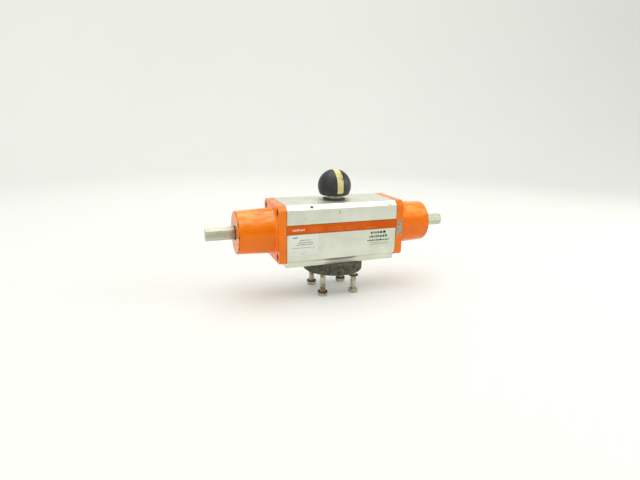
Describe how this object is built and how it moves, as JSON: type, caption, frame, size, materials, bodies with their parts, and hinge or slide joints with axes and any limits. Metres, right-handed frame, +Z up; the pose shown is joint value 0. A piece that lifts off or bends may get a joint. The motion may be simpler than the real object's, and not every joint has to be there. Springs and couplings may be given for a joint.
{
  "type": "rotary pneumatic actuator",
  "caption": "Spring-return rack-and-pinion quarter-turn actuator: square extruded body, tapered end caps with hex travel stops, round flange ring with hanging bolts, ball indicator.",
  "frame": {"origin": "on the pinion axis, at the plane that the four flange bolts stand on", "axes": "+X along the cylinder, +Y towards the air ports on the back, +Z up the pinion axis towards the indicator"},
  "size_m": [0.3753, 0.09, 0.1843],
  "materials": {
    "anodised_aluminium": "satin anodised extrusion",
    "side_band": "deep red-orange film",
    "label_film": "printed film",
    "cast_ring": "rough dark surface with rust",
    "stainless_steel": "dull stainless",
    "spring_washer_steel": "browned steel",
    "black_steel": "blackened",
    "bearing_plastic": "acetal",
    "thrust_plastic": "black acetal",
    "pinion_steel": "plated steel",
    "seal_rubber": "nitrile",
    "dome_plastic": "satin black",
    "stripe_film": "faded yellow",
    "orange_paint": "glossy enamel",
    "piston_aluminium": "die cast",
    "spring_steel": "oiled",
    "hex_bar_metal": "drawn bar"
  },
  "bodies": {
    "housing": {"band_back": "side_band", "band_front": "side_band", "body": "anodised_aluminium", "cap_screws_left": "black_steel", "cap_screws_right": "black_steel", "cap_seal_left": "seal_rubber", "cap_seal_right": "seal_rubber", "end_cap_left": "orange_paint", "end_cap_right": "orange_paint", "flange_bolts": "stainless_steel", "flange_ring": "cast_ring", "inner_spring_left": "spring_steel", "inner_spring_right": "spring_steel", "label_left": "label_film", "label_right": "label_film", "lower_bush": "bearing_plastic", "outer_spring_left": "spring_steel", "outer_spring_right": "spring_steel", "passage_plug": "black_steel", "ring_screws": "black_steel", "split_washers": "spring_washer_steel", "upper_bush": "bearing_plastic"},
    "pinion": {"pinion_shaft": "pinion_steel", "lower_shaft_seal": "seal_rubber", "upper_shaft_seal": "seal_rubber", "thrust_washer": "thrust_plastic", "shaft_circlip": "black_steel", "indicator_dome": "dome_plastic", "indicator_stripe": "stripe_film"},
    "piston_right": {"piston_right": "piston_aluminium", "piston_seal_right": "seal_rubber", "piston_guide_right": "bearing_plastic", "rack_pad_right": "bearing_plastic"},
    "stop_washer_right": {"stop_washer_right": "seal_rubber"},
    "stop_screw_right": {"stop_screw_right": "hex_bar_metal"},
    "piston_left": {"piston_left": "piston_aluminium", "piston_seal_left": "seal_rubber", "piston_guide_left": "bearing_plastic", "rack_pad_left": "bearing_plastic"},
    "stop_washer_left": {"stop_washer_left": "seal_rubber"},
    "stop_screw_left": {"stop_screw_left": "hex_bar_metal"}
  },
  "joints": [
    {"name": "pinion_turn", "type": "hinge", "parent": "housing", "child": "pinion", "pos_m": [0, 0, 0.099], "axis": [0, 0, 1], "range_deg": [0, 90], "stiffness_Nm_per_rad": 1.2, "springref_deg": -85.94},
    {"name": "piston_right_slide", "type": "slide", "parent": "housing", "child": "piston_right", "axis": [1, 0, 0], "range_m": [0, 0.0252], "deforming": ["outer_spring_right", "inner_spring_right"]},
    {"name": "piston_left_slide", "type": "slide", "parent": "housing", "child": "piston_left", "axis": [-1, 0, 0], "range_m": [0, 0.0252], "deforming": ["outer_spring_left", "inner_spring_left"]},
    {"name": "stop_right_turn", "type": "hinge", "parent": "housing", "child": "stop_washer_right", "pos_m": [0.1484, 0, 0.099], "axis": [1, 0, 0], "range_deg": [0, 360]},
    {"name": "stop_right_travel", "type": "slide", "parent": "stop_washer_right", "child": "stop_screw_right", "axis": [1, 0, 0], "range_m": [0, 0.0015]},
    {"name": "stop_left_turn", "type": "hinge", "parent": "housing", "child": "stop_washer_left", "pos_m": [-0.1484, 0, 0.099], "axis": [-1, 0, 0], "range_deg": [0, 360]},
    {"name": "stop_left_travel", "type": "slide", "parent": "stop_washer_left", "child": "stop_screw_left", "axis": [-1, 0, 0], "range_m": [0, 0.0015]}
  ],
  "couplings": [
    {"joint": "piston_right_slide", "follows": "pinion_turn", "m_per_rad": 0.016},
    {"joint": "piston_left_slide", "follows": "pinion_turn", "m_per_rad": 0.016},
    {"joint": "stop_right_turn", "follows": "stop_right_travel", "rad_per_m": 4188.8},
    {"joint": "stop_left_turn", "follows": "stop_left_travel", "rad_per_m": 4188.8}
  ]
}
